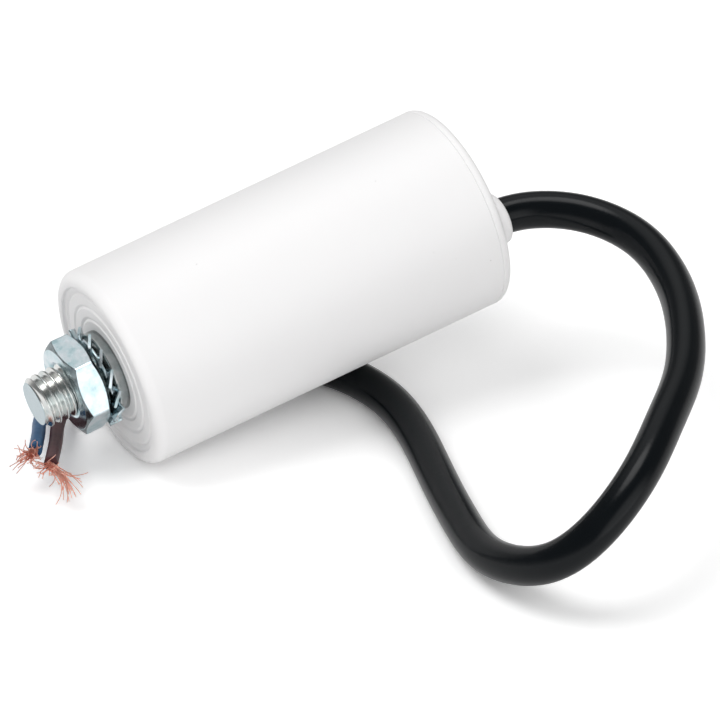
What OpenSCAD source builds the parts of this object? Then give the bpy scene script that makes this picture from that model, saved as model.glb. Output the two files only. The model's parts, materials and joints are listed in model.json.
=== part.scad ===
// Motor run capacitor in a round plastic can, with a threaded stud at one end
// and a two-core cable at the other. Millimetres, +Z up.
// The can leans on its own cable: the foot of its stud end and the cable stand on the floor.

/* [Can] */
// Outer radius of the can beside the rounded rim at the stud end
can_r_stud = 15.3; // [14.5:0.1:15.6]
// Growth of the can's radius from the stud end to the cable end
can_taper = 0.4; // [0:0.1:0.8]
// Length from the rim at the stud end to the seam of the cover
can_len = 58.5; // [55:0.5:62]
// Wall thickness
can_wall = 1.3; // [1:0.1:1.6]
// Thickness of the closed end
can_floor = 3; // [2.5:0.1:4]
// Radius of the rounded rim at the stud end
rim_round = 1.6; // [1:0.1:2]
// Depth of the closed end behind its rim
face_depth = 0.5; // [0.4:0.1:1]
// Number of fine rings moulded in the closed end
face_rings = 3; // [1:1:4]
// Distance from one moulded ring to the next
ring_pitch = 2; // [1.4:0.1:2.2]
// Depth of a moulded ring
ring_depth = 0.25; // [0.1:0.05:0.3]
// Width of a moulded ring
ring_w = 0.6; // [0.3:0.1:0.9]

/* [Cover] */
// Thickness of the cover outside the can
cover_t = 1.5; // [1:0.1:2]
// Depth of the plug that the cover holds in the can
cover_plug = 1.5; // [1:0.1:3]
// Radius of the cover's outer edge
cover_round = 0.5; // [0.2:0.1:0.9]
// Outer radius of the cable boss
boss_r = 4; // [3.8:0.1:4.4]
// Height of the cable boss over the cover
boss_h = 3.5; // [2.5:0.1:4]
// Radius of the round at the end of the boss
boss_round = 0.8; // [0.4:0.1:0.9]
// Distance from the cover's edge to the middle of the cable boss
boss_inset = 8.7; // [7:0.1:10]

/* [Stud and nut] */
// Radius of the M8 stud
stud_r = 4; // [3:0.1:4.5]
// Depth of the thread from its crest to where stud and nut meet
thread_bite = 0.4; // [0.3:0.05:0.5]
// Length of the stud beyond the rim of the can
stud_out = 11.9; // [11.5:0.1:16]
// Chamfer at the end of the stud
stud_chamfer = 0.75; // [0.4:0.05:1]
// Radius of the collar outside the closed end
collar_r = 6.2; // [5.8:0.1:7]
// Height of the collar over the closed end
collar_t = 1.6; // [1:0.1:2]
// Width across the flats of the stud's head inside the can
head_flats = 12; // [10:0.5:14]
// Thickness of the stud's head inside the can
head_t = 2; // [1.5:0.1:3]
// Width of the nut across its flats
nut_flats = 13; // [12.5:0.1:14]
// Thickness of the nut
nut_t = 4; // [3.5:0.1:5]
// Distance from the nut's flats to the circle of its face, inside the bevel
nut_bevel = 0.2; // [0.1:0.05:0.4]
// Angle of the nut about the stud
nut_turn = 157; // [0:1:180]

/* [Lock washer] */
// Thickness of the sheet
washer_t = 0.4; // [0.3:0.05:0.9]
// Outer radius of the ring that carries the teeth
washer_ring_r = 6.1; // [5.8:0.1:6.6]
// Radius at the tips of the teeth
washer_tip_r = 7.5; // [7.2:0.1:8.2]
// Number of teeth
teeth = 14; // [10:1:16]
// Length of a tooth's root on the ring
tooth_root = 0.5; // [0.3:0.1:0.8]
// Width of a tooth
tooth_w = 2.7; // [2:0.1:2.8]
// Twist of a tooth out of the ring's plane
tooth_twist = 30; // [20:1:35]
// Angle of the first tooth about the stud
washer_turn = 11.5; // [0:0.5:36]

/* [Winding] */
// Resin between the winding and the can's wall
resin_t = 1.3; // [1:0.1:2]
// Room for the leads between the winding and the cover's plug
lead_room = 8.7; // [7.5:0.1:12]
// Outer radius of the winding's core tube
core_r = 3.2; // [2.8:0.1:3.6]
// Wall of the winding's core tube
core_wall = 1.1; // [0.8:0.1:1.2]
// Thickness of the sprayed metal at each end of the winding
spray_t = 0.6; // [0.4:0.1:0.8]
// Thickness of the film wrapped round the winding
wrap_t = 0.3; // [0.2:0.05:0.5]
// Thickness of the pad between the stud's head and the winding
pad_t = 1.6; // [1.5:0.1:2.5]
// Radius of the hole in the pad
pad_hole_r = 5; // [4.5:0.1:5.5]
// Radius of a solder joint
solder_r = 2.2; // [1.8:0.1:2.6]
// Height of a solder joint
solder_h = 1.1; // [0.8:0.1:1.4]

/* [Cable] */
// Outer diameter of the cable's sheath
cord_d = 5.6; // [5.2:0.1:6]
// Diameter of an insulated core
lead_d = 2.05; // [1.8:0.05:2.2]
// Diameter of a stranded conductor
wire_d = 1; // [0.8:0.05:1.2]
// Distance from one core's centre to the other's
lead_pitch = 2.3; // [2.3:0.05:2.6]
// Length of sheath inside the can, under the cover
sheath_in = 1; // [0.5:0.5:3]
// Length of bare conductor at a solder joint
bare_len = 3; // [2:0.5:3.5]
// Distance along the floor from the can's foot to where the cable crosses under it
rest_span = 34; // [32:0.5:36]

/* [Fits] */
// Clearance of the stud in its bores
stud_gap = 0.05; // [0.03:0.01:0.1]
// Clearance of the cable and the leads in their holes
cord_gap = 0.1; // [0.05:0.05:0.2]
// Clearance of the cover's plug in the can
plug_gap = 0.1; // [0.05:0.05:0.2]
// Clearance between the can and the cable that it leans on
rest_gap = 0.1; // [0.05:0.05:0.2]
// Clearance of the lock washer's bore round the stud
washer_play = 0.4; // [0.2:0.1:0.6]
// Clearance of the lock washer between collar and nut
washer_gap = 0.02; // [0.01:0.01:0.05]

/* [Hidden] */
$fn = 96;
joint_fn = 32;
eps = 0.01;
hex_sides = 6;
quarter = 90;

// Stations along the can's axis, from the rim at the stud end
face_z = face_depth;
inner_z = face_z + can_floor;
pad_z = inner_z + head_t;
spray_a_z = pad_z + pad_t;
wind_z = spray_a_z + spray_t;
seam_z = can_len;
plug_z = seam_z - cover_plug;
cover_z = seam_z + cover_t;
boss_z = cover_z + boss_h;
sheath_z = plug_z - sheath_in;
pack_end_z = plug_z - lead_room;
spray_b_z = pack_end_z - spray_t;
wind_len = spray_b_z - wind_z;
collar_z = face_z - collar_t;
washer_span = tooth_w * sin(tooth_twist) + washer_t * cos(tooth_twist);
washer_z = collar_z - washer_gap - washer_span / 2;
nut_z = washer_z - washer_span / 2 - washer_gap - nut_t;

// Radii
can_r_cable = can_r_stud + can_taper;
can_slope = can_taper / can_len;
function can_r(z) = can_r_stud + can_slope * z;
pack_r = can_r_stud - can_wall - resin_t;
wind_r = pack_r - wrap_t;
boss_off = can_r_cable - boss_inset;
cord_r = cord_d / 2;
lead_r = lead_d / 2;
wire_r = wire_d / 2;
cord_hole_r = cord_r + cord_gap;
stud_hole_r = stud_r + stud_gap;
engaged_r = stud_r - thread_bite;
head_r = head_flats / 2 / cos(quarter / 3);
core_hole_r = core_r - core_wall;
ring_r0 = can_r_stud - rim_round - ring_pitch;

// Lean of the can: its straight side clears the cable that crosses under it
can_draft = atan(can_slope);
lean = atan((cord_d + rest_gap) / rest_span) + can_draft;
foot_z = rim_round;
foot_r = can_r(foot_z) - rim_round;
lift = rim_round + foot_r * cos(lean) - foot_z * sin(lean);
tip_r = stud_r - stud_chamfer;
x_low = -stud_out * cos(lean) - tip_r * sin(lean);
x_high = boss_z * cos(lean) + (boss_r - boss_round) * sin(lean);
mid_x = (x_low + x_high) / 2;

// Stands a piece that is drawn along +Z from the stud end's rim in its place on the floor
module seat() {
    translate([-mid_x, 0, lift]) rotate([0, quarter - lean, 0]) children();
}

function seated(p) = [
    p[0] * sin(lean) + p[2] * cos(lean) - mid_x,
    p[1],
    p[2] * sin(lean) - p[0] * cos(lean) + lift];

// Side of the can as an outline of radius against height, inset by a wall
module can_outline(z0, z1, inset) {
    polygon([[0, z0], [can_r(z0) - inset, z0], [can_r(z1) - inset, z1], [0, z1]]);
}

module ring_cut(r, depth, w) {
    translate([r - w / 2, face_z - eps]) square([w, depth + eps]);
}

module case() {
    color("white") seat() difference() {
        rotate_extrude() difference() {
            union() {
                can_outline(foot_z, seam_z, 0);
                square([foot_r, foot_z]);
                intersection() {
                    translate([foot_r, foot_z]) circle(rim_round);
                    square([can_r_cable, foot_z]);
                }
            }
            can_outline(inner_z, seam_z + eps, can_wall);
            translate([0, -eps]) square([foot_r - ring_w, face_z + eps]);
            for (i = [0 : face_rings - 1])
                ring_cut(ring_r0 - i * ring_pitch, ring_depth, ring_w);
            square([stud_hole_r, inner_z + eps]);
        }
    }
}

module end_cover() {
    edge_r = can_r(seam_z) - cover_round;
    color("white") seat() difference() {
        union() {
            rotate_extrude() union() {
                translate([0, plug_z]) square([can_r(plug_z) - can_wall - plug_gap, cover_plug]);
                translate([0, seam_z]) square([edge_r, cover_t]);
                translate([0, seam_z]) square([can_r(seam_z), cover_t - cover_round]);
                translate([edge_r, cover_z - cover_round]) circle(cover_round);
            }
            translate([0, -boss_off, cover_z]) cable_boss();
        }
        translate([0, -boss_off, plug_z - eps]) cylinder(r = cord_hole_r, h = boss_z);
    }
}

module cable_boss() {
    rotate_extrude() union() {
        square([boss_r, boss_h - boss_round]);
        square([boss_r - boss_round, boss_h]);
        translate([boss_r - boss_round, boss_h - boss_round]) circle(boss_round);
    }
}

module threaded_stud() {
    color("silver") seat() union() {
        translate([0, 0, stud_chamfer - stud_out])
            cylinder(r = stud_r, h = nut_z + stud_out - stud_chamfer);
        translate([0, 0, nut_z]) cylinder(r = engaged_r, h = nut_t);
        translate([0, 0, nut_z + nut_t]) cylinder(r = stud_r, h = inner_z - nut_z - nut_t);
        translate([0, 0, -stud_out]) cylinder(r1 = tip_r, r2 = stud_r, h = stud_chamfer);
        translate([0, 0, collar_z]) cylinder(r = collar_r, h = collar_t);
        translate([0, 0, inner_z]) cylinder(r = head_r, h = head_t, $fn = hex_sides);
    }
}

module tooth() {
    reach = washer_tip_r - washer_ring_r + tooth_root;
    rotate([-tooth_twist, 0, 0])
        translate([washer_tip_r - reach, -tooth_w / 2, -washer_t / 2]) cube([reach, tooth_w, washer_t]);
}

module lock_washer() {
    color("silver") seat() translate([0, 0, washer_z]) difference() {
        union() {
            translate([0, 0, -washer_t / 2]) cylinder(r = washer_ring_r, h = washer_t);
            for (i = [0 : teeth - 1])
                rotate(washer_turn + i * 4 * quarter / teeth) tooth();
        }
        translate([0, 0, -washer_span]) cylinder(r = stud_r + washer_play, h = 2 * washer_span);
    }
}

module hex_nut() {
    corner_r = nut_flats / 2 / cos(quarter / 3);
    face_r = nut_flats / 2 - nut_bevel;
    cone_h = (corner_r + nut_bevel - face_r) * tan(quarter / 3);
    color("silver") seat() translate([0, 0, nut_z]) difference() {
        intersection() {
            rotate(nut_turn) cylinder(r = corner_r, h = nut_t, $fn = hex_sides);
            rotate_extrude() polygon([[0, 0], [face_r, 0], [corner_r + nut_bevel, cone_h],
                [corner_r + nut_bevel, nut_t - cone_h], [face_r, nut_t], [0, nut_t]]);
        }
        translate([0, 0, -eps]) cylinder(r = engaged_r + stud_gap, h = nut_t + 2 * eps);
    }
}

// Ring or disc round the can's axis
module ring(r_in, r_out, z, h) {
    seat() translate([0, 0, z]) difference() {
        cylinder(r = r_out, h = h);
        translate([0, 0, -eps]) cylinder(r = r_in, h = h + 2 * eps);
    }
}

module film_winding() {
    color("gainsboro") ring(core_r, wind_r, wind_z, wind_len);
}

module winding_core() {
    color("ivory") ring(core_hole_r, core_r, wind_z, wind_len);
}

module contact_spray_stud_end() {
    color("darkgray") ring(core_hole_r, wind_r, spray_a_z, spray_t);
}

module contact_spray_cable_end() {
    color("darkgray") ring(core_hole_r, wind_r, spray_b_z, spray_t);
}

module winding_wrap() {
    color("khaki") ring(wind_r, pack_r, spray_a_z, pack_end_z - spray_a_z);
}

module insulating_pad() {
    color("wheat") ring(pad_hole_r, pack_r, pad_z, pad_t);
}

// Solder joints: blue on the cable end of the winding, brown at the stud end of its core
blue_y = -boss_off - lead_pitch / 2;
brown_y = -boss_off + lead_pitch / 2;
brown_turn_z = (sheath_z + pack_end_z) / 2;

module solder_joint_blue() {
    color("lightgray") seat() translate([0, blue_y, pack_end_z]) difference() {
        cylinder(r = solder_r, h = solder_h);
        translate([0, 0, -eps]) cylinder(r = wire_r, h = solder_h + 2 * eps);
    }
}

module solder_joint_brown() {
    color("lightgray") seat() translate([0, 0, spray_a_z - solder_h]) difference() {
        cylinder(r = core_hole_r + solder_r / 2, h = solder_h);
        translate([0, 0, -eps]) cylinder(r = wire_r, h = solder_h + 2 * eps);
    }
}

// Round wire through points, with a ball at each bend
module wire(points, r) {
    for (i = [0 : len(points) - 2]) {
        step = points[i + 1] - points[i];
        span = norm(step);
        translate(points[i]) rotate([0, acos(step[2] / span), atan2(step[1], step[0])])
            cylinder(r = r, h = span, $fn = joint_fn);
        if (i > 0)
            translate(points[i]) sphere(r = r, $fn = joint_fn);
    }
}

blue_lead_path = [[0, blue_y, pack_end_z + bare_len], [0, blue_y, sheath_z]];
brown_lead_path = [[0, 0, spray_a_z + bare_len], [0, 0, pack_end_z + lead_d],
    [0, brown_y, brown_turn_z + lead_d / 2], [0, brown_y, sheath_z]];

module inner_lead_blue() {
    color("royalblue") seat() wire(blue_lead_path, lead_r);
}

module inner_lead_brown() {
    color("saddlebrown") seat() wire(brown_lead_path, lead_r);
}

module inner_wire_blue() {
    color("peru") seat() translate([0, blue_y, pack_end_z]) cylinder(r = wire_r, h = bare_len);
}

module inner_wire_brown() {
    color("peru") seat() translate([0, 0, spray_a_z - solder_h])
        cylinder(r = wire_r, h = bare_len + solder_h);
}

module potting_resin() {
    color("dimgray") seat() difference() {
        rotate_extrude() can_outline(inner_z, plug_z, can_wall);
        translate([0, 0, inner_z - eps]) cylinder(r = head_r, h = head_t + 2 * eps, $fn = hex_sides);
        translate([0, 0, pad_z]) cylinder(r = pack_r, h = pack_end_z - pad_z);
        translate([0, blue_y, pack_end_z - eps]) cylinder(r = solder_r, h = solder_h + eps);
        translate([0, blue_y, pack_end_z]) cylinder(r = wire_r, h = bare_len + eps);
        wire(blue_lead_path, lead_r);
        wire(brown_lead_path, lead_r);
        translate([0, -boss_off, sheath_z]) cylinder(r = cord_hole_r, h = sheath_in + eps);
    }
}

// Cable: the route leaves the boss, loops forward, passes under the can and ends behind it
cord_sides = 12;
lead_sides = 8;
route_start = [for (z = [sheath_z, cover_z, boss_z, boss_z + cord_r / 2]) seated([0, -boss_off, z])];
route_points = [[42.5, -8.5, 26], [47, -11.5, 26], [50.5, -16.5, 25.5], [52, -23.5, 25],
    [50.5, -33, 24], [46, -43, 23.5], [39.5, -52.5, 22.5], [31, -60.5, 21.5], [22.5, -67, 19],
    [14, -69.5, 14], [8.5, -66, 8.5], [6, -55, 4.2], [8.5, -42, 3.1], [11.5, -31, 2.9],
    [14.5, -20, 2.8], [15.5, -10, 2.8], [12.5, 0.5, 2.8], [5, 8.5, 2.8], [-4, 12.5, 2.8], [-16, 14, 2.8]];
blue_points = [[-22, 15.5, 3], [-28.5, 13.5, 3.2], [-32.5, 8, 4], [-35, 3.5, 5], [-38, -1.5, 6]];
brown_points = [[-21, 13, 3], [-26.5, 11, 3.2], [-30.5, 6, 4], [-34, 0, 5], [-38, -6.5, 6.5]];
blue_strand_points = [[-40, -2.5, 5.8], [-42, -2.5, 5]];
brown_strand_points = [[-38.5, -9, 5.5], [-37.5, -12.5, 3]];

// Smooth curve through points: each stretch is cut in a number of steps
function blend(a, b, c, d, t) =
    0.5 * (2 * b + (c - a) * t + (2 * a - 5 * b + 4 * c - d) * t * t
        + (3 * b - a - 3 * c + d) * t * t * t);
function smooth(p, steps) = [
    for (i = [0 : len(p) - 2], k = [0 : steps - 1])
        blend(p[max(i - 1, 0)], p[i], p[i + 1], p[min(i + 2, len(p) - 1)], k / steps),
    p[len(p) - 1]];

// Directions along a path, and a side vector carried along it without twist
function unit(v) = v / norm(v);
function heading(p, i) = unit(p[min(i + 1, len(p) - 1)] - p[max(i - 1, 0)]);
function across(v, t) = unit(v - (v * t) * t);
function sides_from(p, i, v) = let (s = across(v, heading(p, i)))
    i == len(p) - 1 ? [s] : concat([s], sides_from(p, i + 1, s));

// Closed tube along a path, with a radius for each point
module tube(p, radii, sides) {
    side = sides_from(p, 0, [0, 1, 0.1]);
    rings = [for (i = [0 : len(p) - 1]) let (t = heading(p, i), s = side[i], u = cross(t, s))
        for (k = [0 : sides - 1]) let (a = 4 * quarter * k / sides)
            p[i] + radii[i] * (cos(a) * s + sin(a) * u)];
    last = (len(p) - 1) * sides;
    faces = concat(
        [[for (k = [0 : sides - 1]) sides - 1 - k]],
        [for (i = [0 : len(p) - 2], k = [0 : sides - 1])
            let (a = i * sides, b = a + sides, n = (k + 1) % sides) [a + k, a + n, b + n, b + k]],
        [[for (k = [0 : sides - 1]) last + k]]);
    polyhedron(points = rings, faces = [for (f = faces) [for (k = [len(f) - 1 : -1 : 0]) f[k]]]);
}

// The next piece starts square on the end of a path, set off to one side, and runs on straight at first
function end_of(p) = p[len(p) - 1];
function end_heading(p) = unit(end_of(p) - p[len(p) - 2]);
function carry_on(p, offset, run) = let (h = end_heading(p), side = unit(cross(h, [0, 0, 1])))
    [for (along = [0, run / 2, run]) end_of(p) + side * offset + h * along];

sheath_path = smooth(concat(route_start, route_points), 3);
blue_path = smooth(concat(carry_on(sheath_path, lead_pitch / 2, lead_d), blue_points), 2);
brown_path = smooth(concat(carry_on(sheath_path, -lead_pitch / 2, lead_d), brown_points), 2);

module cable_sheath() {
    color("black") tube(sheath_path, [for (p = sheath_path) cord_r], cord_sides);
}

module core_blue() {
    color("royalblue") tube(blue_path, [for (p = blue_path) lead_r], lead_sides);
}

module core_brown() {
    color("saddlebrown") tube(brown_path, [for (p = brown_path) lead_r], lead_sides);
}

// The bare strands of a core start square on its end and spread to twice their width
module tuft(path, points) {
    start = carry_on(path, 0, wire_d);
    tube(concat(start, points), concat([for (p = start) wire_r], [for (p = points) wire_d]), lead_sides);
}

module strands_blue() {
    color("peru") tuft(blue_path, blue_strand_points);
}

module strands_brown() {
    color("peru") tuft(brown_path, brown_strand_points);
}

case();
end_cover();
threaded_stud();
lock_washer();
hex_nut();
film_winding();
winding_core();
contact_spray_stud_end();
contact_spray_cable_end();
winding_wrap();
insulating_pad();
potting_resin();
solder_joint_blue();
solder_joint_brown();
inner_lead_blue();
inner_lead_brown();
inner_wire_blue();
inner_wire_brown();
cable_sheath();
core_blue();
core_brown();
strands_blue();
strands_brown();
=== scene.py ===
# Motor run capacitor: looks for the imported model, in metres, in the model's own frame.
import json
import math
import random

import bpy
import numpy as np
from mathutils import Matrix, Vector


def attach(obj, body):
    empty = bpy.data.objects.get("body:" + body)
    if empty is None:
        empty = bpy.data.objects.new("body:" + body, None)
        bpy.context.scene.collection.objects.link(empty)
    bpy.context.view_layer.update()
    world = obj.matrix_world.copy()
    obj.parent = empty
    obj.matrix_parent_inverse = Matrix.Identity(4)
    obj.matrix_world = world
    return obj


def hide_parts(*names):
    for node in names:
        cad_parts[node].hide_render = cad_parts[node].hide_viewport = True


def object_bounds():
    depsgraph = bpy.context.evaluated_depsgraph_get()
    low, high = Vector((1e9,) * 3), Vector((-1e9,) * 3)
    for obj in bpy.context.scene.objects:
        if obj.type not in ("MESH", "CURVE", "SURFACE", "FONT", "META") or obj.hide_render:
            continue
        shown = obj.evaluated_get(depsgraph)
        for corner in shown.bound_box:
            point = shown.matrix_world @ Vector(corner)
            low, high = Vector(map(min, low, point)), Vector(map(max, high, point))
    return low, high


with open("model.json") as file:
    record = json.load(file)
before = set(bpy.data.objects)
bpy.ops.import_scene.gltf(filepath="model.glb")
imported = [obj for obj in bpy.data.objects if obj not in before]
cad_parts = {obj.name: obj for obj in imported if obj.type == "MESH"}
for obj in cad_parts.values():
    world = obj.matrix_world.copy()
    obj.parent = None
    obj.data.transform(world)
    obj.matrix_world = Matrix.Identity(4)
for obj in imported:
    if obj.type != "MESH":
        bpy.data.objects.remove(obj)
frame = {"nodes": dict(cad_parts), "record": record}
CAD_BOX = [list(corner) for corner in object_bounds()]

MM = 0.001
TURN = 2 * math.pi
BODY = "root"

# ---------------------------------------------------------------- the capacitor's axis
# Axial pieces are drawn in millimetres along Z from the can's rim at the stud end,
# then seated on the axis that the stud mount gives.
STUD_MOUNT = next(m for m in frame["record"]["mounts"] if m["name"] == "stud")
AXIS = -Vector(STUD_MOUNT["axis"]).normalized()
MOUNT_POINT = Vector(STUD_MOUNT["pos_m"])


def axial(node):
    """Axial places and radii of a CAD node's corners, in millimetres, from the stud mount."""
    corners = np.array([v.co for v in frame["nodes"][node].data.vertices], float)
    offset = corners - np.array(MOUNT_POINT)
    z = offset @ np.array(AXIS)
    radius = np.linalg.norm(offset - np.outer(z, np.array(AXIS)), axis=1)
    return z / MM, radius / MM


RIM_AT = axial("case")[0].min()
ORIGIN = MOUNT_POINT + AXIS * RIM_AT * MM
LEAN = math.asin(AXIS.z)
SEAT = np.array([[AXIS.z, 0, AXIS.x], [0, 1, 0], [-AXIS.x, 0, AXIS.z]])


def span(node):
    """Where a CAD node starts and ends along the axis."""
    z = axial(node)[0] - RIM_AT
    return float(z.min()), float(z.max())


def reach(node):
    """Largest radius of a CAD node about the axis."""
    return float(axial(node)[1].max())


def seated(points):
    """Rings of axial points, in millimetres, to metres in the model's frame."""
    return np.array(ORIGIN) + MM * (np.asarray(points, float) @ SEAT.T)


# ---------------------------------------------------------------- sizes, in millimetres
CAN_END = span("case")[1]
CAN_R_CABLE = reach("case")
CAN_TAPER = 0.4
CAN_R_STUD = CAN_R_CABLE - CAN_TAPER
CAN_WALL, CAN_FLOOR = 1.3, 3.0
RIM_ROUND, RIM_FLAT, RIM_EDGE, RIM_SLOPE = 1.6, 0.6, 0.25, 0.15
FACE, FACE_EDGE = 0.5, 0.2
FACE_RING_R = (12.0, 9.9, 7.9)
FACE_RING_HALF, FACE_RING_DEPTH, FACE_RING_ROUND = 0.35, 0.22, 0.15
SEAM_ROUND, EDGE = 0.18, 0.1
COVER_FLANGE, COVER_ROUND, COVER_PLAY = 1.5, 1.0, 0.1
COVER_PLUG, COVER_END = span("end_cover")[0], CAN_END + COVER_FLANGE
BOSS_R, BOSS_OFF, BOSS_FOOT, BOSS_ROUND = 4.0, 7.0, 0.5, 0.8
BOSS_END = span("end_cover")[1]
BORE_R, BORE_EDGE = 2.9, 0.2
CAN_SIDES, STUD_SIDES = 256, 128

STUD_TIP = span("threaded_stud")[0]
STUD_R, STUD_PITCH, STUD_DEPTH = 4.0, 1.25, 0.68
STUD_CHAMFER, ROOT_FLAT, CREST_FLAT, THREAD_CUTS = 0.75, 0.14, 0.16, 180
STUD_BORE_R = 4.05
COLLAR_R, COLLAR_T, COLLAR_ROUND = 6.2, 1.6, 0.25
COLLAR_TOP, COLLAR_FOOT = FACE - COLLAR_T, FACE + 0.05
COLLAR_BORE_R = STUD_R - 0.8

NUT_Z, NUT_END = span("hex_nut")
NUT_FLATS, NUT_TURN, NUT_SIDE_CUTS = 13.0, math.radians(157), 40
NUT_FACE_R, BEVEL_SLOPE, NUT_CORNER = NUT_FLATS / 2 - 0.2, math.tan(math.radians(30)), 0.05
BEVEL_CUTS = (0.02, 0.06, 0.14, 0.22, 0.3, 0.38, 0.46, 0.54, 0.62, 0.7, 0.78, 0.86, 0.95)
NUT_MOUTH_R, NUT_HOLE_R, NUT_SINK = STUD_R + 0.35, STUD_R - STUD_DEPTH + 0.25, 0.9
NUT_LIP, NUT_LIP_DEPTH = 0.08, 0.05

WASHER_MIDDLE = sum(span("lock_washer")) / 2
WASHER_T, WASHER_HOLE_R, WASHER_RING_R = 0.4, STUD_R + 0.4, 6.1
TEETH, WASHER_TURN = 14, math.radians(11.5)
TOOTH_ROOT_R, TOOTH_TIP_R, TOOTH_W, TOOTH_EDGE = STUD_R + 1.2, 7.5, 2.7, 0.07
TOOTH_TWIST, TOOTH_CUTS = math.radians(-30), 9

CORD_D, CORD_SIDES, CORD_EASE = 5.6, 32, 4.0
CORE_D, CORE_SIDES, CORE_PITCH = 2.05, 20, 2.3
BUNCH_D, WIRE_R, WIRE_SIDES, WIRE_STEPS, WIRE_START = 1.0, 0.07, 6, 16, 0.6


# ---------------------------------------------------------------- camera
CAMERA_AT = (-0.27082, -0.49361, 0.36368)
CAMERA_AZIMUTH, CAMERA_ELEVATION = math.radians(-30.26), math.radians(32.25)
CAMERA_LENS, SENSOR = 225, 36


def add_camera():
    data = bpy.data.cameras.new("camera")
    data.lens, data.sensor_width = CAMERA_LENS, SENSOR
    data.clip_start, data.clip_end = 0.01, 20
    camera = bpy.data.objects.new("camera", data)
    camera.location = CAMERA_AT
    camera.rotation_euler = (math.pi / 2 - CAMERA_ELEVATION, 0, CAMERA_AZIMUTH)
    bpy.context.scene.collection.objects.link(camera)
    bpy.context.scene.camera = camera


add_camera()


# ---------------------------------------------------------------- node trees
NOISE_ROUGHNESS = 0.55


class Value:
    """An output socket. Arithmetic written on it becomes Math nodes."""

    def __init__(self, tree, socket):
        self.tree, self.socket = tree, socket

    def math(self, operation, *others):
        return self.tree.math(operation, self, *others)

    def __add__(self, other):
        return self.math("ADD", other)

    def __radd__(self, other):
        return self.tree.math("ADD", other, self)

    def __sub__(self, other):
        return self.math("SUBTRACT", other)

    def __rsub__(self, other):
        return self.tree.math("SUBTRACT", other, self)

    def __mul__(self, other):
        """A tuple scales a vector; anything else scales a number."""
        if isinstance(other, tuple):
            return self.tree.node("ShaderNodeVectorMath", {"operation": "MULTIPLY"}, {0: self, 1: other})
        return self.math("MULTIPLY", other)

    def __rmul__(self, other):
        return self.tree.math("MULTIPLY", other, self)

    def __truediv__(self, other):
        return self.math("DIVIDE", other)

    def __abs__(self):
        return self.math("ABSOLUTE")

    def __gt__(self, other):
        return self.math("GREATER_THAN", other)

    def __lt__(self, other):
        return self.math("LESS_THAN", other)

    def at_least(self, other):
        return self.math("MAXIMUM", other)

    def at_most(self, other):
        return self.math("MINIMUM", other)

    def clamped(self):
        """The value held between 0 and 1."""
        return self.at_least(0).at_most(1)


class Tree:
    """Adds nodes to a shader or geometry tree."""

    def __init__(self, tree):
        self.tree = tree

    def node(self, kind, settings=None, inputs=None, output=0):
        """Adds a node. Settings come first, a ramp's stops among them; then values or links go in."""
        node = self.tree.nodes.new(kind)
        for name, value in (settings or {}).items():
            if name == "stops":
                self.set_stops(node.color_ramp, value)
            else:
                setattr(node, name, value)
        for name, value in (inputs or {}).items():
            socket = node.inputs[name]
            if isinstance(value, Value):
                self.tree.links.new(value.socket, socket)
            else:
                socket.default_value = value
        return Value(self, node.outputs[output])

    def set_stops(self, ramp, stops):
        while len(ramp.elements) < len(stops):
            ramp.elements.new(1)
        for element, (place, shade) in zip(ramp.elements, stops):
            element.position = place
            element.color = rgb(*shade)

    def math(self, operation, *values):
        return self.node("ShaderNodeMath", {"operation": operation}, dict(enumerate(values)))

    def blend(self, factor, first, second):
        """Colour between two colours."""
        return self.node("ShaderNodeMix", {"data_type": "RGBA"}, {0: factor, 6: first, 7: second}, 2)

    def noise(self, where, scale, detail):
        return self.node("ShaderNodeTexNoise", {}, {
            "Vector": where, "Scale": scale, "Detail": detail, "Roughness": NOISE_ROUGHNESS})

    def ramp(self, value, *stops):
        return self.node("ShaderNodeValToRGB", {"stops": stops}, {0: value})

    def axis_of(self, vector, axis):
        """One coordinate of a vector: 0 for X, 1 for Y, 2 for Z."""
        return self.node("ShaderNodeSeparateXYZ", {}, {0: vector}, axis)

    def facing(self, way, card):
        """How nearly one direction points along another: 1 where they agree."""
        return self.node("ShaderNodeVectorMath", {"operation": "DOT_PRODUCT"}, {0: way, 1: card}, 1)

    def rays(self):
        """1 for a ray from the camera, off gloss, or through glass."""
        kinds = ("Is Camera Ray", "Is Glossy Ray", "Is Transmission Ray")
        return [self.node("ShaderNodeLightPath", output=kind) for kind in kinds]


def rgb(*channels):
    return (*channels, 1)


class Finish(Tree):
    """A material with one Principled shader and coordinates in millimetres."""

    def __init__(self, name, slot, **fixed):
        self.material = bpy.data.materials.new(name)
        self.material.use_nodes = True
        super().__init__(self.material.node_tree)
        self.tree.nodes.clear()
        self.slot = slot
        self.shader = self.tree.nodes.new("ShaderNodeBsdfPrincipled")
        output = self.tree.nodes.new("ShaderNodeOutputMaterial")
        self.tree.links.new(self.shader.outputs[0], output.inputs[0])
        for socket, value in fixed.items():
            self.shader.inputs[socket.replace("_", " ")].default_value = value

    def vary(self, socket, value):
        self.tree.links.new(value.socket, self.shader.inputs[socket])

    def here(self):
        """Place on the piece in millimetres, with Z along the can's axis."""
        coordinates = self.node("ShaderNodeTexCoord", output="Object")
        return self.node("ShaderNodeMapping", {"vector_type": "TEXTURE"}, {
            "Vector": coordinates, "Location": tuple(ORIGIN),
            "Rotation": (0, math.pi / 2 - LEAN, 0), "Scale": (MM, MM, MM)})

    def on_cord(self, around):
        """Place on a cord: millimetres along it, and turns times a factor around it."""
        uv = self.node("ShaderNodeUVMap", {"uv_map": "along"})
        return self.node("ShaderNodeMapping", {}, {"Vector": uv, "Scale": (1, around, 1)})

    def bump(self, height, depth_mm, strength):
        return self.node("ShaderNodeBump", {}, {
            "Height": height, "Distance": depth_mm * MM, "Strength": strength})


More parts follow.
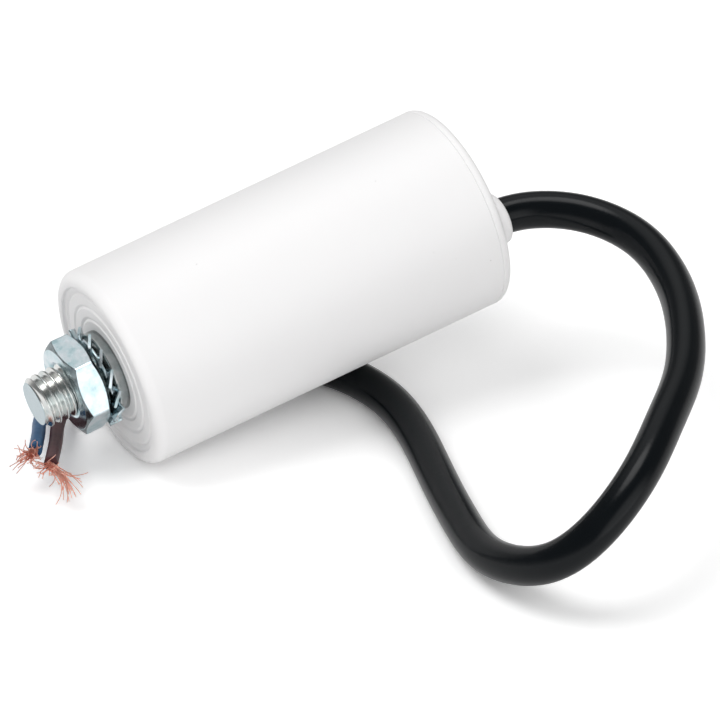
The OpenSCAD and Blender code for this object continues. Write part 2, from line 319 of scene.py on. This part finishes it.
# ---------------------------------------------------------------- meshes
def finish_piece(piece, finish, replaces=()):
    """Gives a piece its material and body, and hides the CAD nodes it stands for."""
    piece.data.materials.clear()
    piece.data.materials.append(finish.material)
    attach(piece, BODY)
    if replaces:
        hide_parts(*replaces)
    return piece


def add_object(name, data):
    piece = bpy.data.objects.new(name, data)
    bpy.context.scene.collection.objects.link(piece)
    return piece


def skin(name, rings, loop=False, marks=None):
    """Closed mesh over rings of points, in metres: loop joins the last ring to the first, else flat
    ends close it. marks gives each ring's place along the piece, for the map named along."""
    rings = np.asarray(rings, float)
    count, around = rings.shape[:2]
    faces = []
    for i in range(count if loop else count - 1):
        k = (i + 1) % count
        for j in range(around):
            n = (j + 1) % around
            faces.append((i * around + j, i * around + n, k * around + n, k * around + j))
    if not loop:
        faces.append(tuple(range(around))[::-1])
        faces.append(tuple((count - 1) * around + j for j in range(around)))
    mesh = bpy.data.meshes.new(name)
    mesh.from_pydata(rings.reshape(-1, 3).tolist(), [], faces)
    if marks is not None:
        write_map(mesh, marks, around)
    mesh.polygons.foreach_set("use_smooth", [len(p.vertices) == 4 for p in mesh.polygons])
    mesh.update()
    if signed_volume(mesh) < 0:
        mesh.flip_normals()
    return add_object(name, mesh)


def write_map(mesh, marks, around):
    """Map named along: millimetres along the piece, and the share of a turn around it."""
    layer = mesh.uv_layers.new(name="along")
    for polygon in mesh.polygons:
        places = [v % around for v in polygon.vertices]
        wraps = len(places) == 4 and max(places) == around - 1 and min(places) == 0
        for corner, v, place in zip(polygon.loop_indices, polygon.vertices, places):
            if wraps and place == 0:
                place = around
            layer.data[corner].uv = (marks[v // around], place / around)


def signed_volume(mesh):
    """Above zero where a closed mesh has its faces outward."""
    mesh.calc_loop_triangles()
    corners = np.array([v.co for v in mesh.vertices], float)
    tris = np.array([t.vertices for t in mesh.loop_triangles])
    a, b, c = (corners[tris[:, i]] for i in range(3))
    return float(np.einsum("ij,ij->i", a, np.cross(b, c)).sum())


def rounded(corners, steps=5, support=0.06):
    """Closed outline of (radius, height, round) corners, with an arc at each rounded corner
    and a point beside each arc that keeps the shading of the flat next to it."""
    outline = []
    for i, (r, z, size) in enumerate(corners):
        here = np.array([r, z])
        before = np.array(corners[i - 1][:2]) - here
        after = np.array(corners[(i + 1) % len(corners)][:2]) - here
        u, v = before / np.linalg.norm(before), after / np.linalg.norm(after)
        if size <= 0:
            outline.append(here)
            continue
        half = math.acos(max(-1, min(1, float(u @ v)))) / 2
        cut = size / math.tan(half)
        middle = here + (u + v) / np.linalg.norm(u + v) * size / math.sin(half)
        start, end = here + u * cut, here + v * cut
        outline.append(start + u * support)
        a, b = start - middle, end - middle
        sweep = math.pi - 2 * half
        for k in range(steps + 1):
            t = k / steps
            bow = math.sin((1 - t) * sweep) * a + math.sin(t * sweep) * b
            outline.append(middle + bow / math.sin(sweep))
        outline.append(end + v * support)
    return outline


def axial_ring(radius, z, angles, centre_y=0):
    """One ring of axial points; the radius may change around it."""
    x, y = radius * np.cos(angles), centre_y + radius * np.sin(angles)
    return np.stack([x, y, np.full(len(angles), z)], 1)


def turned(name, outline, around, centre_y=None):
    """Piece turned on the can's axis from a closed outline; centre_y gives each ring's middle."""
    angles = np.arange(around) * TURN / around
    middles = centre_y or [0] * len(outline)
    rings = [axial_ring(r, z, angles, middle) for (r, z), middle in zip(outline, middles)]
    return skin(name, seated(rings), loop=True)


# ---------------------------------------------------------------- cords
SHEATH_ROUTE = [
    (42.5, -8.5, 26), (47, -11.5, 26), (50.5, -16.5, 25.5), (52, -23.5, 25), (50.5, -33, 24),
    (46, -43, 23.5), (39.5, -52.5, 22.5), (31, -60.5, 21.5), (22.5, -67, 19), (14, -69.5, 14),
    (8.5, -66, 8.5), (6, -55, 4.2), (8.5, -42, 3.1), (11.5, -31, 2.9), (14.5, -20, 2.8),
    (15.5, -10, 2.8), (12.5, 0.5, 2.8), (5, 8.5, 2.8), (-4, 12.5, 2.8), (-16, 14, 2.8)]
BLUE_ROUTE = [(-22, 15.5, 3), (-28.5, 13.5, 3.2), (-32.5, 8, 4), (-35, 3.5, 5), (-38, -1.5, 6)]
BROWN_ROUTE = [(-21, 13, 3), (-26.5, 11, 3.2), (-30.5, 6, 4), (-34, 0, 5), (-38, -6.5, 6.5)]
SHEATH_START = COVER_PLUG - 1
SHEATH_STRAIGHT = BOSS_END + CORD_D / 4


def smooth_path(points, steps):
    """Smooth curve through points, cut in a number of steps between each two."""
    p = np.asarray(points, float)
    path = []
    for i in range(len(p) - 1):
        a, b, c, d = p[max(i - 1, 0)], p[i], p[i + 1], p[min(i + 2, len(p) - 1)]
        for k in range(steps):
            t = k / steps
            path.append(0.5 * (2 * b + (c - a) * t + (2 * a - 5 * b + 4 * c - d) * t ** 2
                               + (3 * b - a - 3 * c + d) * t ** 3))
    return np.array(path + [p[-1]])


def relaxed(path, ease):
    """The path as a stiff cord takes it: kinks shorter than ease, which is in steps of the path, go
    away, wide bends keep their place, and its ends stay put."""
    half = int(3 * ease)
    weights = np.exp(-0.5 * (np.arange(-half, half + 1) / ease) ** 2)
    weights /= weights.sum()

    def eased(points):
        before = 2 * points[0] - points[half:0:-1]
        after = 2 * points[-1] - points[-2:-half - 2:-1]
        longer = np.concatenate([before, points, after])
        return np.stack([np.convolve(longer[:, k], weights, "valid") for k in range(3)], 1)

    once = eased(path)
    return once + (once - eased(once))


def evenly(path, step):
    """The same path with points at an even distance."""
    along = lengths(path)
    marks = np.linspace(0, along[-1], int(round(along[-1] / step)) + 1)
    return np.stack([np.interp(marks, along, path[:, k]) for k in range(3)], 1)


def unit(v):
    return v / np.linalg.norm(v)


def carry_on(path, offset, run):
    """The first points of a core: square on the sheath's end, set off to one side, and straight."""
    heading = unit(path[-1] - path[-2])
    side = unit(np.cross(heading, [0, 0, 1]))
    return [path[-1] + side * offset + heading * s for s in (0, run / 2, run)]


def headings(path):
    """Direction of the path at each of its points."""
    ahead = np.roll(path, -1, 0)
    behind = np.roll(path, 1, 0)
    ahead[-1], behind[0] = path[-1], path[0]
    return [unit(a - b) for a, b in zip(ahead, behind)]


def lengths(path):
    """How far along the path each of its points lies."""
    return np.concatenate([[0], np.cumsum(np.linalg.norm(np.diff(path, axis=0), axis=1))])


def tube(name, path, radius, around):
    """Round tube along a path that is given in millimetres, without a twist."""
    side = np.array([0, 1, 0.1])
    angles = np.arange(around) * TURN / around
    rings = []
    for point, way in zip(path, headings(path)):
        side = unit(side - (side @ way) * way)
        up = np.cross(way, side)
        rings.append(point + radius * (np.outer(np.cos(angles), side) + np.outer(np.sin(angles), up)))
    return skin(name, np.array(rings) * MM, marks=lengths(path))


SHEATH_LEAD_IN = [tuple((ORIGIN + Vector(SEAT @ np.array([0, -BOSS_OFF, z])) * MM) / MM)
                  for z in (SHEATH_START, COVER_END, BOSS_END, SHEATH_STRAIGHT)]
SHEATH_ALL = SHEATH_LEAD_IN + SHEATH_ROUTE
SHEATH_COARSE = smooth_path(SHEATH_ALL, steps=3)
SHEATH_PATH = relaxed(evenly(smooth_path(SHEATH_ALL, steps=12), step=1.0), CORD_EASE)
BLUE_PATH = smooth_path(carry_on(SHEATH_COARSE, CORE_PITCH / 2, CORE_D) + BLUE_ROUTE, steps=8)
BROWN_PATH = smooth_path(carry_on(SHEATH_COARSE, -CORE_PITCH / 2, CORE_D) + BROWN_ROUTE, steps=8)


# ---------------------------------------------------------------- finishes
# the darkest and lightest colour of each core's insulation
BLUE_PVC = (0.012, 0.062, 0.150), (0.035, 0.125, 0.260)
BROWN_PVC = (0.038, 0.011, 0.014), (0.105, 0.036, 0.040)


def white_plastic():
    """Satin moulded plastic, faintly cloudy, with a few dark specks."""
    f = Finish("white_plastic", "white_plastic", IOR=1.46)
    here = f.here()
    white = f.blend(f.noise(here, 0.06, 4), rgb(0.915, 0.908, 0.912), rgb(0.94, 0.933, 0.932))
    cells = {"Vector": here, "Scale": 0.42, "Randomness": 1.0}
    spot = f.node("ShaderNodeTexVoronoi", {}, cells, "Distance")
    draw = f.node("ShaderNodeTexVoronoi", {}, cells, "Color")
    chance = f.node("ShaderNodeSeparateColor", {}, {0: draw})
    speck = (spot < 0.012 + 0.03 * chance) * (chance > 0.72) * 0.45
    f.vary("Base Color", f.blend(speck, white, rgb(0.38, 0.36, 0.34)))
    f.vary("Roughness", 0.42 + 0.12 * f.noise(here, 0.35, 3))
    f.vary("Normal", f.bump(f.noise(here, 3.2, 2), 0.012, 0.5))
    return f


def zinc(name, deep, middle, light):
    """Bright zinc in three tints, with painted shade: a dark reflection painted on the nut's bevels, shade
    painted on the collar under the washer, and a blue-grey reflection painted on the stud's end.
    """
    f = Finish(name, "zinc_steel", Metallic=1.0)
    here = f.here()
    plate = f.ramp(f.noise(here, 0.45, 4), (0.34, deep), (0.47, middle), (0.64, light))
    # painted shade: dark colours for a dark reflection painted on the nut's bevels and for shade painted on
    # the collar under the washer
    painted_shade = f.ramp(f.noise(here, 1.1, 4), (0.35, (0.07, 0.09, 0.10)), (0.65, (0.22, 0.26, 0.27)))
    away = f.node("ShaderNodeVectorMath", {"operation": "LENGTH"}, {0: here * (1, 1, 0)}, 1)
    up = f.axis_of(here, 2)
    depth = (up - NUT_Z).at_most(NUT_END - up)
    edge = 0.04  # how far each mask reaches past the metal's edge, in millimetres
    on_cone = depth < (away - NUT_FACE_R + edge) * BEVEL_SLOPE + edge
    bevel = (away > NUT_FACE_R + edge) * on_cone * (depth > -edge / 2)
    collar = up > COLLAR_TOP - edge / 2
    # painted reflection: the stud's end face is tinted blue-grey to stand for the reflection it shows
    tip = up < STUD_TIP + 3 * edge
    plate = f.blend(tip * 0.85, plate, rgb(0.46, 0.56, 0.60))
    # the painted shade goes on the nut's bevels (a dark reflection) and on the collar (shade under the
    # washer)
    f.vary("Base Color", f.blend((bevel * 0.9).at_least(collar * 0.45), plate, painted_shade))
    f.vary("Roughness", 0.10 + 0.16 * f.noise(here, 1.6, 4))
    f.vary("Normal", f.bump(f.noise(here, 1.2, 4), 0.03, 0.45))
    return f


def black_sheath():
    """Satin black, uneven along the cord."""
    f = Finish("black_sheath", "black_pvc", IOR=1.46, Specular_IOR_Level=0.24)
    along = f.on_cord(6)
    black = f.blend(f.noise(along, 0.3, 3), rgb(0.0012, 0.0026, 0.0036), rgb(0.0030, 0.0044, 0.0058))
    f.vary("Base Color", black)
    f.vary("Roughness", 0.16 + 0.10 * f.noise(along, 0.8, 4))
    f.vary("Normal", f.bump(f.noise(along, 2.0, 3), 0.02, 0.5))
    return f


def core_skin(name, slot, dark, light):
    """Coloured insulation of one core."""
    f = Finish(name, slot, IOR=1.5, Specular_IOR_Level=0.35)
    along = f.on_cord(3)
    f.vary("Base Color", f.blend(f.noise(along, 0.8, 3), rgb(*dark), rgb(*light)))
    f.vary("Roughness", 0.34 + 0.14 * f.noise(along, 1.5, 3))
    f.vary("Normal", f.bump(f.noise(along, 2.5, 3), 0.015, 0.5))
    return f


def copper():
    """Bright bare copper, from red to pink."""
    f = Finish("copper_strands", "copper", Metallic=1.0)
    here = f.here()
    f.vary("Base Color", f.blend(f.noise(here, 1.4, 3), rgb(0.86, 0.36, 0.27), rgb(1.0, 0.68, 0.57)))
    f.vary("Roughness", 0.26 + 0.16 * f.noise(here, 3.0, 2))
    return f


# ---------------------------------------------------------------- can and cover
def can_outline():
    """Closed outline of the can: outside wall, rim, ringed end, stud hole, inside and open edge."""
    face_r = CAN_R_STUD - RIM_ROUND - RIM_FLAT
    outline = [(CAN_R_CABLE, CAN_END, SEAM_ROUND), (CAN_R_STUD, 0, RIM_ROUND), (face_r, 0, RIM_EDGE),
               (face_r - RIM_SLOPE, FACE, FACE_EDGE)]
    for ring in FACE_RING_R:
        outline += [(ring + FACE_RING_HALF, FACE, EDGE), (ring, FACE + FACE_RING_DEPTH, FACE_RING_ROUND),
                    (ring - FACE_RING_HALF, FACE, EDGE)]
    outline += [(STUD_BORE_R, FACE, EDGE), (STUD_BORE_R, FACE + CAN_FLOOR, 0),
                (CAN_R_STUD - CAN_WALL, FACE + CAN_FLOOR, 0), (CAN_R_CABLE - CAN_WALL, CAN_END, EDGE)]
    return rounded(outline)


def add_can(finish):
    finish_piece(turned("can", can_outline(), CAN_SIDES), finish, ["case"])


def add_cover(finish):
    """Cover and cable boss in one moulding: its rings have their middle on the can's axis where they
    are wide, and on the boss's axis where they are narrow."""
    plug_r = CAN_R_CABLE - CAN_WALL - COVER_PLAY
    outline = rounded([(BORE_R, COVER_PLUG, EDGE), (plug_r, COVER_PLUG, EDGE), (plug_r, CAN_END, 0),
                       (CAN_R_CABLE, CAN_END, SEAM_ROUND), (CAN_R_CABLE, COVER_END, COVER_ROUND),
                       (BOSS_R + BOSS_FOOT, COVER_END, 0), (BOSS_R, COVER_END + BOSS_FOOT, 0),
                       (BOSS_R, BOSS_END, BOSS_ROUND), (BORE_R, BOSS_END, BORE_EDGE)])
    middles = [0 if r > plug_r / 2 else -BOSS_OFF for r, z in outline]
    finish_piece(turned("cover", outline, CAN_SIDES, middles), finish, ["end_cover"])


# ---------------------------------------------------------------- geometry node helpers
class Shape(Tree):
    """A geometry tree with named inputs, applied to a mesh and then removed."""

    def __init__(self, name):
        super().__init__(bpy.data.node_groups.new(name, "GeometryNodeTree"))
        self.tree.interface.new_socket("Geometry", in_out="INPUT", socket_type="NodeSocketGeometry")
        self.tree.interface.new_socket("Geometry", in_out="OUTPUT", socket_type="NodeSocketGeometry")
        self.start = self.tree.nodes.new("NodeGroupInput")
        self.sizes = {}

    def size(self, name, value, kind="NodeSocketFloat"):
        """A named input with its value for this piece."""
        socket = self.tree.interface.new_socket(name, in_out="INPUT", socket_type=kind)
        self.sizes[socket.identifier] = value
        return Value(self, self.start.outputs[name])

    def given(self):
        """The mesh or curve that the tree is applied to."""
        return Value(self, self.start.outputs["Geometry"])

    def end(self, geometry, material):
        """Realize Instances and Set Material close the tree."""
        real = self.node("GeometryNodeRealizeInstances", {}, {0: geometry})
        painted = self.node("GeometryNodeSetMaterial", {}, {"Geometry": real, "Material": material})
        output = self.tree.nodes.new("NodeGroupOutput")
        self.tree.links.new(painted.socket, output.inputs[0])

    def apply(self, piece):
        """Runs the tree on a piece and keeps the result as a plain mesh."""
        modifier = piece.modifiers.new("shape", "NODES")
        modifier.node_group = self.tree
        for identifier, value in self.sizes.items():
            modifier[identifier] = value
        evaluated = piece.evaluated_get(bpy.context.evaluated_depsgraph_get())
        mesh = bpy.data.meshes.new_from_object(evaluated)
        piece.modifiers.clear()
        if piece.type == "MESH":
            piece.data = mesh
            return piece
        name = piece.name
        bpy.data.objects.remove(piece)
        return add_object(name, mesh)


def seat_mesh(piece):
    """Moves a mesh drawn in axial millimetres to its seat."""
    seat = Matrix(SEAT.tolist()).to_4x4()
    seat.translation = ORIGIN
    piece.data.transform(seat @ Matrix.Scale(MM, 4))
    piece.data.update()
    return piece


# ---------------------------------------------------------------- stud, nut and washer
def thread_tree(material):
    """Threaded bar: a finely cut cylinder whose radius follows the thread's helix and the tip's chamfer."""
    t = Shape("thread")
    crest = t.size("Crest radius", STUD_R)
    depth = t.size("Thread depth", STUD_DEPTH)
    pitch = t.size("Pitch", STUD_PITCH)
    length = t.size("Length", COLLAR_TOP - STUD_TIP)
    chamfer = t.size("Chamfer", STUD_CHAMFER)
    bar = t.node("GeometryNodeMeshCylinder", {}, {
        "Vertices": STUD_SIDES, "Side Segments": THREAD_CUTS, "Radius": 1.0, "Depth": length})
    place = t.node("GeometryNodeInputPosition")
    x, y = t.axis_of(place, 0), t.axis_of(place, 1)
    z = t.axis_of(place, 2) + length / 2
    phase = (z / pitch - y.math("ARCTAN2", x) / TURN).math("FRACT")
    flank = (abs(phase - 0.5) * 2 - ROOT_FLAT) / (1 - ROOT_FLAT - CREST_FLAT)
    radius = crest - depth * (1 - flank.clamped())
    radius = radius.at_most(crest - chamfer + z)
    moved = t.node("ShaderNodeCombineXYZ", {}, {0: x * radius, 1: y * radius, 2: z})
    t.end(t.node("GeometryNodeSetPosition", {}, {"Geometry": bar, "Position": moved}), material)
    return t


def add_stud(finish):
    """Threaded stud, and the collar under it that sits on the can's end."""
    blank = add_object("stud_thread", bpy.data.meshes.new("stud_thread"))
    piece = thread_tree(finish.material).apply(blank)
    piece.data.transform(Matrix.Translation((0, 0, STUD_TIP)))
    piece.data.polygons.foreach_set("use_smooth", [len(p.vertices) == 4 for p in piece.data.polygons])
    finish_piece(seat_mesh(piece), finish, ["threaded_stud"])
    collar = rounded([(COLLAR_BORE_R, COLLAR_TOP, 0), (COLLAR_R, COLLAR_TOP, COLLAR_ROUND),
                      (COLLAR_R, COLLAR_FOOT, 0), (COLLAR_BORE_R, COLLAR_FOOT, 0)])
    finish_piece(turned("stud_collar", collar, STUD_SIDES), finish)


def add_nut(finish):
    """Hexagon cut by a cone at each face, with a countersunk hole."""
    fold = TURN / 6
    around = 6 * NUT_SIDE_CUTS
    angles = np.arange(around) * TURN / around + NUT_TURN
    hexagon = NUT_FLATS / 2 / np.cos((angles - NUT_TURN) % fold - fold / 2)
    hexagon = np.minimum(hexagon, NUT_FLATS / 2 / math.cos(fold / 2) - NUT_CORNER)
    half = [(NUT_HOLE_R, NUT_SINK), (NUT_MOUTH_R, NUT_LIP_DEPTH), (NUT_MOUTH_R + NUT_LIP, 0),
            (NUT_FACE_R - EDGE, 0)]
    half += [(np.minimum(hexagon, NUT_FACE_R + depth / BEVEL_SLOPE), depth) for depth in BEVEL_CUTS]
    rings = [axial_ring(radius, NUT_Z + depth, angles) for radius, depth in half]
    rings.append(axial_ring(hexagon, (NUT_Z + NUT_END) / 2, angles))
    rings += [axial_ring(radius, NUT_END - depth, angles) for radius, depth in half[::-1]]
    piece = skin("nut", seated(rings), loop=True)
    piece.data.set_sharp_from_angle(angle=math.radians(25))
    finish_piece(piece, finish, ["hex_nut"])


def tooth_mesh():
    """One twisted tooth of the lock washer, from the ring outward along X."""
    half, thick, edge = TOOTH_W / 2, WASHER_T / 2, TOOTH_EDGE
    section = [(-half + edge, -thick), (half - edge, -thick), (half, -thick + edge), (half, thick - edge),
               (half - edge, thick), (-half + edge, thick), (-half, thick - edge), (-half, -thick + edge)]
    rings = []
    for x in np.linspace(TOOTH_ROOT_R, TOOTH_TIP_R, TOOTH_CUTS):
        share = min(1.0, (x - TOOTH_ROOT_R) / (WASHER_RING_R - TOOTH_ROOT_R))
        c, s = math.cos(TOOTH_TWIST * share), math.sin(TOOTH_TWIST * share)
        rings.append([(x, u * c - v * s, u * s + v * c) for u, v in section])
    return skin("lock_washer_teeth", rings)


def add_washer(finish):
    """Lock washer: twisted teeth around a flat ring."""
    t = Shape("tooth_ring")
    count = t.size("Teeth", TEETH, "NodeSocketInt")
    start = t.size("First tooth", WASHER_TURN)
    points = t.node("GeometryNodeMeshCircle", {}, {"Vertices": count, "Radius": 0.0})
    turn = t.node("GeometryNodeInputIndex") * TURN / count + start
    spin = t.node("ShaderNodeCombineXYZ", {}, {2: turn})
    placed = {"Points": points, "Instance": t.given(), "Rotation": spin}
    t.end(t.node("GeometryNodeInstanceOnPoints", {}, placed), finish.material)
    teeth = t.apply(tooth_mesh())
    teeth.data.transform(Matrix.Translation((0, 0, WASHER_MIDDLE)))
    finish_piece(seat_mesh(teeth), finish, ["lock_washer"])
    low, high = WASHER_MIDDLE - WASHER_T / 2, WASHER_MIDDLE + WASHER_T / 2
    flat = rounded([(WASHER_HOLE_R, low, EDGE), (WASHER_RING_R, low, EDGE),
                    (WASHER_RING_R, high, EDGE), (WASHER_HOLE_R, high, EDGE)])
    finish_piece(turned("lock_washer_ring", flat, STUD_SIDES), finish)


# ---------------------------------------------------------------- cable
DOWN = np.array([0, 0, -1.0])
SWING, SWING_FADE = 1.98, 0.35

# the wires of each tuft, group by group: aim, count, length, spread, curl and droop
BLUE_TUFT = [((-0.90, 0.20, -0.38), 36, 4.0, 0.26, 1.1, 0.06),
             ((-0.80, 0.55, 0.20), 18, 2.7, 0.40, 1.5, 0.1)]
BROWN_TUFT = [((-0.75, 0.62, 0.20), 20, 3.3, 0.4, 1.0, 0.1),
              ((0.0, -1.0, 0.3), 18, 2.2, 0.6, 1.5, 0.2),
              ((0.70, -0.80, -0.30), 36, 6.0, 0.13, 0.35, 0.30)]


def scatter(draw):
    """A random direction of random size."""
    return np.array([draw.gauss(0, 1) for _ in range(3)])


def strand(draw, start, heading, aim, length, curl, droop):
    """One frayed wire: it leaves along the core, swings to its aim and curls about an axis of its own."""
    side = unit(np.cross(heading, [0, 0, 1]))
    up = np.cross(heading, side)
    angle, far = draw.uniform(0, TURN), math.sqrt(draw.random()) * BUNCH_D / 2
    point = start + far * (math.cos(angle) * side + math.sin(angle) * up) - heading * WIRE_START
    axis = unit(scatter(draw))
    rate = draw.gauss(0, curl)
    way, step = heading, length / WIRE_STEPS
    points = [point, point + heading * WIRE_START]
    for k in range(WIRE_STEPS):
        swing = SWING * math.exp(-SWING_FADE * k) * aim
        way = unit(way + step * (swing + rate * np.cross(axis, way) + droop * DOWN))
        points.append(points[-1] + way * step)
    return points


def add_strands(name, path, finish, replaces, seed, tuft):
    """Frayed copper strands at the end of a core."""
    draw = random.Random(seed)
    start, heading = path[-1], unit(path[-1] - path[-2])
    curve = bpy.data.curves.new(name, "CURVE")
    curve.dimensions = "3D"
    for aim, count, length, spread, curl, droop in tuft:
        aim = unit(np.array(aim, float))
        for _ in range(count):
            lean = unit(aim + spread * scatter(draw))
            points = strand(draw, start, heading, lean, length * draw.uniform(0.55, 1.1), curl, droop)
            spline = curve.splines.new("POLY")
            spline.points.add(len(points) - 1)
            for spot, point in zip(spline.points, points):
                spot.co = (*(point * MM), 1)
    t = Shape(name + "_wires")
    radius = t.size("Wire radius", WIRE_R * MM)
    ring = t.node("GeometryNodeCurvePrimitiveCircle", {}, {"Resolution": WIRE_SIDES, "Radius": radius})
    drawn = {"Curve": t.given(), "Profile Curve": ring, "Fill Caps": True}
    t.end(t.node("GeometryNodeCurveToMesh", {}, drawn), finish.material)
    return finish_piece(t.apply(add_object(name, curve)), finish, replaces)


def add_core(tint, path, finish, wire, seed, tuft):
    """One insulated core with its tuft of bare wires."""
    core = tube("core_%s_skin" % tint, path, CORE_D / 2, CORE_SIDES)
    finish_piece(core, finish, ["core_%s" % tint])
    wires = add_strands("wire_%s_strands" % tint, path, wire, ["strands_%s" % tint], seed, tuft)


def add_cable():
    """Sheathed cable that leaves the boss, with its two cores."""
    sheath = tube("cable", SHEATH_PATH, CORD_D / 2, CORD_SIDES)
    finish_piece(sheath, black_sheath(), ["cable_sheath"])
    wire = copper()
    add_core("blue", BLUE_PATH, core_skin("blue_core", "blue_pvc", *BLUE_PVC), wire, 11, BLUE_TUFT)
    add_core("brown", BROWN_PATH, core_skin("brown_core", "brown_pvc", *BROWN_PVC), wire, 12, BROWN_TUFT)


add_cable()
PLASTIC = white_plastic()
ZINC = zinc("zinc_plate", deep=(0.44, 0.60, 0.64), middle=(0.60, 0.73, 0.77), light=(0.75, 0.81, 0.85))
STUD_ZINC = zinc("stud_plate", deep=(0.54, 0.60, 0.60), middle=(0.68, 0.71, 0.70), light=(0.80, 0.80, 0.78))
add_can(PLASTIC)
add_cover(PLASTIC)
add_stud(STUD_ZINC)
add_nut(ZINC)
add_washer(ZINC)


# ---------------------------------------------------------------- pieces inside the can
# for each slot: darkest and lightest colour, grain, roughness and metal
INNER_LOOKS = {
    "metallised_film": ((0.60, 0.61, 0.62), (0.80, 0.81, 0.82), 0.5, 0.2, 0.8),
    "core_plastic": ((0.78, 0.75, 0.66), (0.86, 0.84, 0.77), 0.4, 0.4, 0.0),
    "sprayed_zinc": ((0.40, 0.41, 0.42), (0.60, 0.61, 0.62), 3.0, 0.5, 0.9),
    "wrap_film": ((0.72, 0.66, 0.45), (0.82, 0.77, 0.58), 0.2, 0.2, 0.0),
    "pressboard": ((0.58, 0.48, 0.32), (0.72, 0.62, 0.44), 2.0, 0.7, 0.0),
    "resin": ((0.12, 0.12, 0.13), (0.22, 0.22, 0.23), 1.0, 0.4, 0.0),
    "solder": ((0.62, 0.62, 0.64), (0.78, 0.78, 0.79), 1.2, 0.2, 1.0),
    "copper": ((0.76, 0.34, 0.22), (0.92, 0.52, 0.38), 2.0, 0.25, 1.0),
    "blue_pvc": (*BLUE_PVC, 0.8, 0.35, 0.0),
    "brown_pvc": (*BROWN_PVC, 0.8, 0.35, 0.0)}


def inner_finish(slot, dark, light, scale, rough, metallic):
    """Plain grained finish for a piece that the can hides."""
    f = Finish("inner_" + slot, slot, Metallic=metallic)
    here = f.here()
    grain = f.noise(here, scale, 4)
    f.vary("Base Color", f.blend(grain, rgb(*dark), rgb(*light)))
    f.vary("Roughness", rough + 0.15 * f.noise(here, scale / 2, 3))
    f.vary("Normal", f.bump(grain, 0.05, 0.6))
    return f


def dress_inside():
    """Gives the CAD nodes that no piece stands for a finish by their slot."""
    finishes = {slot: inner_finish(slot, *look) for slot, look in INNER_LOOKS.items()}
    slots = {row["node"]: row["material_slot"] for row in frame["record"]["subparts"]}
    for node, piece in frame["nodes"].items():
        if not piece.hide_render:
            piece.data.materials.clear()
            piece.data.materials.append(finishes[slots[node]].material)


dress_inside()


# ---------------------------------------------------------------- floor, lamps and world
FLOOR_HALF = 3.0
FLOOR_WHITE, FLOOR_SEEN, FLOOR_MIRRORED = 0.86, 0.48, 0.14
FILL = 0.50
GLOSS_CEILING, HORIZON, HORIZON_HEIGHT = 0.19, 0.65, 0.22

# cards that gloss shows: direction, cosine where each begins, width of its soft edge and brightness
CARDS = (((0.305, -0.937, 0.20), 0.80, 0.14, 1.15),
         ((0.19, 0.56, 0.80), 0.86, 0.12, 0.60),
         ((0.05, 0.16, 0.985), 0.955, 0.02, 3.4))


def add_floor():
    """Plain floor, paler to the camera and in gloss than in the light that it gives back."""
    half = FLOOR_HALF
    mesh = bpy.data.meshes.new("floor")
    corners = [(-half, -half, 0), (half, -half, 0), (half, half, 0), (-half, half, 0)]
    mesh.from_pydata(corners, [], [(0, 1, 2, 3)])
    floor = add_object("floor", mesh)
    material = bpy.data.materials.new("floor")
    material.use_nodes = True
    t = Tree(material.node_tree)
    t.tree.nodes.clear()
    sees, gloss, through = t.rays()
    white = FLOOR_WHITE + FLOOR_SEEN * sees + FLOOR_MIRRORED * gloss.at_least(through)
    shade = t.node("ShaderNodeCombineColor", {}, {0: white, 1: white, 2: white})
    lit = t.node("ShaderNodeBsdfDiffuse", {}, {"Color": shade})
    output = t.tree.nodes.new("ShaderNodeOutputMaterial")
    t.tree.links.new(lit.socket, output.inputs[0])
    mesh.materials.append(material)


def add_lamp(name, toward, distance, size, power):
    """Square soft lamp that looks at the middle of the model and doesn't show in gloss."""
    data = bpy.data.lights.new(name, "AREA")
    data.shape, data.size, data.energy = "SQUARE", size, power
    lamp = bpy.data.objects.new(name, data)
    middle = (Vector(CAD_BOX[0]) + Vector(CAD_BOX[1])) / 2
    way = Vector(toward).normalized()
    lamp.location = middle + way * distance
    lamp.visible_camera = False
    lamp.visible_glossy = False
    lamp.rotation_euler = way.to_track_quat("Z", "Y").to_euler()
    bpy.context.scene.collection.objects.link(lamp)


def add_world():
    """Even fill for matt surfaces, and for gloss a pale band at the horizon, a darker ceiling and cards."""
    world = bpy.data.worlds.new("studio")
    bpy.context.scene.world = world
    world.use_nodes = True
    t = Tree(world.node_tree)
    t.tree.nodes.clear()
    sees, gloss, through = t.rays()
    way = t.node("ShaderNodeTexCoord", output="Generated")
    studio = GLOSS_CEILING + HORIZON * (1 - (t.axis_of(way, 2) / HORIZON_HEIGHT).clamped())
    for toward, begins, edge, bright in CARDS:
        card = t.facing(way, tuple(Vector(toward).normalized()))
        studio = studio + bright * ((card - begins) / edge).clamped()
    behind = sees.at_least(through)
    strength = behind + (1 - behind) * (gloss * studio + (1 - gloss) * FILL)
    light = t.node("ShaderNodeBackground", {}, {"Color": rgb(1, 1, 1), "Strength": strength})
    output = t.tree.nodes.new("ShaderNodeOutputWorld")
    t.tree.links.new(light.socket, output.inputs[0])


add_floor()
add_lamp("key", toward=(-0.46, 0.17, 1.0), distance=0.9, size=0.5, power=3.1)
add_lamp("front_panel", toward=(-0.22, -0.84, 0.5), distance=1.3, size=1.4, power=6.8)
add_world()
bpy.context.scene.view_settings.view_transform = "Standard"
